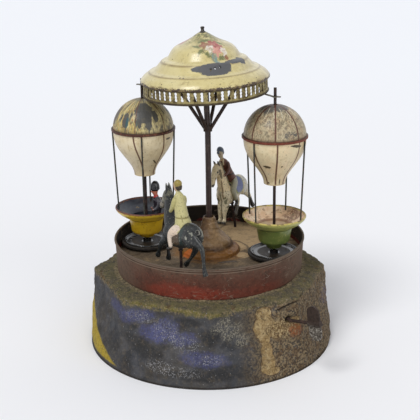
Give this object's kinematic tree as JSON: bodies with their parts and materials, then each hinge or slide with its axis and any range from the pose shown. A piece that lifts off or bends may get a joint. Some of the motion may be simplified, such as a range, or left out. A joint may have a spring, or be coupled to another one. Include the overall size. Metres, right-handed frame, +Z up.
{
  "type": "clockwork tin carousel toy",
  "caption": "Wind-up tin carousel: turning deck and canopy on an eight-sided base, balloons with gondolas that spin inside the drum, mounted riders, winding key",
  "frame": {"origin": "middle of the underside of the base, on the axis of the spindle", "axes": "+Z up along the spindle, -Y towards the viewer of the picture, +X to the viewer's right"},
  "size_m": [0.23, 0.23, 0.2954],
  "materials": {
    "base_paint": "grey oil paint over a plaster skin, chipped and dusty",
    "board_wood": "bare pine, dry",
    "iron": "dull dark iron",
    "steel": "worn drawn steel",
    "spring_steel": "blued spring steel",
    "clock_brass": "rolled brass, dull",
    "screw_brass": "dirty brass",
    "drum_paint": "red-brown paint on tin, dusty",
    "key_iron": "blackened iron with a bare edge",
    "deck_paint": "tan paint on tin, scratched",
    "mound_paint": "ochre paint on tin, darker in the hollows",
    "post_paint": "dark brown paint",
    "canopy_paint": "cream-yellow paint on tin, chipped",
    "gallery_paint": "tarnished gold paint on tin",
    "arm_tin": "bare grey tin",
    "finial_metal": "blackened lead",
    "peg_metal": "blackened iron",
    "rod_metal": "blackened iron",
    "left_top_paint": "streaked cream, yellow and grey paint, worn to the metal",
    "right_top_paint": "grey-beige paint, worn",
    "envelope_paint": "cream paint, stained",
    "ring_paint": "red-brown paint",
    "gondola_yellow": "yellow paint outside, slate grey inside",
    "gondola_green": "green paint outside, cream inside",
    "wheel_black": "glossy black enamel",
    "tyre_rubber": "hard black rubber",
    "passenger_paint": "dark coat, pink face, black hat",
    "dark_horse_paint": "dark blue-grey paint, worn to pale metal",
    "dark_rider_paint": "pale yellow-green coat, brown cap",
    "white_horse_paint": "cream paint with dark spots",
    "white_rider_paint": "red-brown jacket, blue-grey cap"
  },
  "bodies": {
    "base": {"base_shell": "base_paint", "bottom_board": "board_wood", "board_tacks": "iron", "drum_pan": "drum_paint", "pan_screws": "screw_brass", "spindle_bush": "clock_brass", "footstep_cup": "clock_brass", "back_plate": "clock_brass", "front_plate": "clock_brass", "frame_pillars": "clock_brass", "pillar_nuts": "steel", "frame_screws": "screw_brass", "ratchet_click": "steel", "music_comb": "spring_steel", "comb_bracket": "clock_brass", "comb_screws": "screw_brass"},
    "key": {"winding_key": "key_iron", "winding_arbor": "steel", "ratchet_wheel": "clock_brass"},
    "barrel": {"spring_barrel": "clock_brass", "barrel_cap": "clock_brass", "mainspring": "spring_steel", "crown_wheel": "clock_brass"},
    "second_staff": {"second_arbor": "steel", "second_wheel": "clock_brass"},
    "third_staff": {"third_arbor": "steel", "third_wheel": "clock_brass"},
    "fan": {"fan_arbor": "steel", "fan_vanes": "clock_brass"},
    "carousel": {"spindle": "steel", "spindle_pinion": "clock_brass", "music_drum": "clock_brass", "deck": "deck_paint", "mound": "mound_paint", "post": "post_paint", "struts": "post_paint", "canopy": "canopy_paint", "gallery": "gallery_paint", "hanger_arms": "arm_tin", "finial": "finial_metal", "horse_pegs": "peg_metal"},
    "balloon_left": {"rod_left": "rod_metal", "envelope_top_left": "left_top_paint", "envelope_bottom_left": "envelope_paint", "rigging_left": "ring_paint", "gondola_left": "gondola_yellow", "friction_wheel_left": "wheel_black", "tyre_left": "tyre_rubber", "passenger": "passenger_paint"},
    "balloon_right": {"rod_right": "rod_metal", "envelope_top_right": "right_top_paint", "envelope_bottom_right": "envelope_paint", "rigging_right": "ring_paint", "gondola_right": "gondola_green", "friction_wheel_right": "wheel_black", "tyre_right": "tyre_rubber"},
    "dark_horse": {"dark_horse": "dark_horse_paint", "dark_rider": "dark_rider_paint"},
    "white_horse": {"white_horse": "white_horse_paint", "white_rider": "white_rider_paint"}
  },
  "joints": [
    {"name": "carousel_spin", "type": "hinge", "parent": "base", "child": "carousel", "pos_m": [0, 0, 0.085], "axis": [0, 0, 1], "continuous": true},
    {"name": "key_wind", "type": "hinge", "parent": "base", "child": "key", "pos_m": [0, 0, 0.051], "axis": [-0.6361, 0.7716, 0], "range_deg": [0, 1440]},
    {"name": "barrel_spin", "type": "hinge", "parent": "base", "child": "barrel", "pos_m": [0, 0, 0.051], "axis": [0.6361, -0.7716, 0], "continuous": true},
    {"name": "second_spin", "type": "hinge", "parent": "base", "child": "second_staff", "pos_m": [0.02993, -0.00772, 0.0405], "axis": [0.6361, -0.7716, 0], "continuous": true},
    {"name": "third_spin", "type": "hinge", "parent": "base", "child": "third_staff", "pos_m": [0.03205, -0.00598, 0.02499], "axis": [0.6361, -0.7716, 0], "continuous": true},
    {"name": "fan_spin", "type": "hinge", "parent": "base", "child": "fan", "pos_m": [0.0237, -0.01286, 0.02209], "axis": [0.6361, -0.7716, 0], "continuous": true},
    {"name": "balloon_left_spin", "type": "hinge", "parent": "carousel", "child": "balloon_left", "pos_m": [-0.05973, 0.01769, 0.085], "axis": [0, 0, 1], "continuous": true},
    {"name": "balloon_right_spin", "type": "hinge", "parent": "carousel", "child": "balloon_right", "pos_m": [0.05973, -0.01769, 0.085], "axis": [0, 0, 1], "continuous": true},
    {"name": "dark_horse_swivel", "type": "hinge", "parent": "carousel", "child": "dark_horse", "pos_m": [-0.02509, -0.06535, 0.085], "axis": [0, 0, 1], "range_deg": [-20, 10]},
    {"name": "white_horse_swivel", "type": "hinge", "parent": "carousel", "child": "white_horse", "pos_m": [0.02622, 0.0649, 0.0867], "axis": [-0.1219, 0, 0.9925], "range_deg": [-20, 10]}
  ],
  "couplings": [
    {"joint": "barrel_spin", "follows": "carousel_spin", "ratio": 0.2},
    {"joint": "second_spin", "follows": "carousel_spin", "ratio": -1.2},
    {"joint": "third_spin", "follows": "carousel_spin", "ratio": 7.2},
    {"joint": "fan_spin", "follows": "carousel_spin", "ratio": -43.2},
    {"joint": "balloon_left_spin", "follows": "carousel_spin", "ratio": -3.52},
    {"joint": "balloon_right_spin", "follows": "carousel_spin", "ratio": -3.52}
  ]
}
